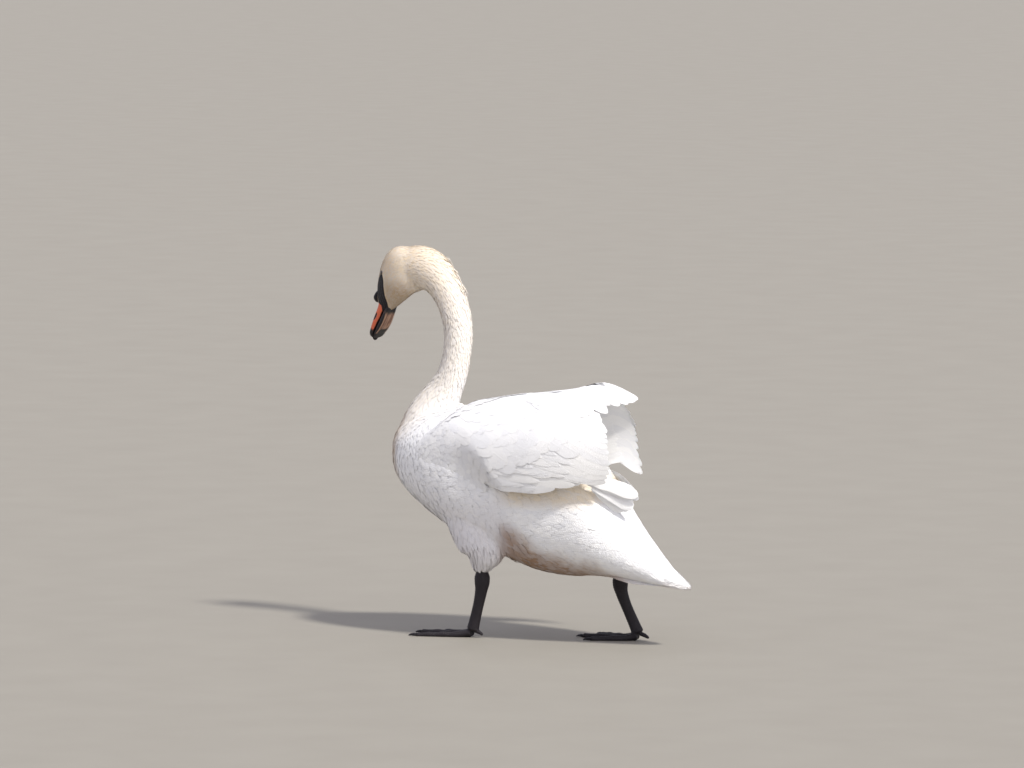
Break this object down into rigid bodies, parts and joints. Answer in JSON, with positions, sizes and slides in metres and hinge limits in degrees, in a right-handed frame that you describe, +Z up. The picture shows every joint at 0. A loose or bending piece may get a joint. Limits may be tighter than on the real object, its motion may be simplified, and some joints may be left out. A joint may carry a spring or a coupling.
{
  "type": "mute swan",
  "caption": "Life-size mute swan in mid stride, neck arched, bill bowed and wings half raised over the back, standing on two webbed feet.",
  "frame": {"origin": "on the floor, under the middle of the model's bounding box", "axes": "the swan faces -X, its left side is -Y and +Z is up"},
  "size_m": [0.7622, 0.3104, 0.7912],
  "materials": {
    "plumage": "soft matt feathers",
    "wing_feathers": "smooth matt feather vanes",
    "bill": "satin horn",
    "bill_lower": "satin horn",
    "black_skin": "fine matt skin",
    "horn": "satin horn",
    "leg_skin": "scaled skin",
    "eye": "wet gloss"
  },
  "bodies": {
    "root": {"head": "plumage", "eye_left": "eye", "eye_right": "eye", "bill_upper": "bill", "bill_lower": "bill_lower", "bill_knob": "black_skin", "bill_nail": "horn", "neck_upper": "plumage", "neck_middle": "plumage", "neck_lower": "plumage", "trunk": "plumage", "tail": "plumage", "thigh_left": "plumage", "thigh_right": "plumage", "wing_left_shoulder": "wing_feathers", "wing_left_scapulars": "wing_feathers", "wing_left_secondaries": "wing_feathers", "wing_left_tertials": "wing_feathers", "wing_left_primaries": "wing_feathers", "wing_right_shoulder": "wing_feathers", "wing_right_scapulars": "wing_feathers", "wing_right_secondaries": "wing_feathers", "wing_right_tertials": "wing_feathers", "wing_right_primaries": "wing_feathers", "shank_left": "leg_skin", "foot_left": "leg_skin", "claw_left_inner": "horn", "claw_left_middle": "horn", "claw_left_outer": "horn", "shank_right": "leg_skin", "foot_right": "leg_skin", "claw_right_inner": "horn", "claw_right_middle": "horn", "claw_right_outer": "horn"}
  },
  "joints": []
}
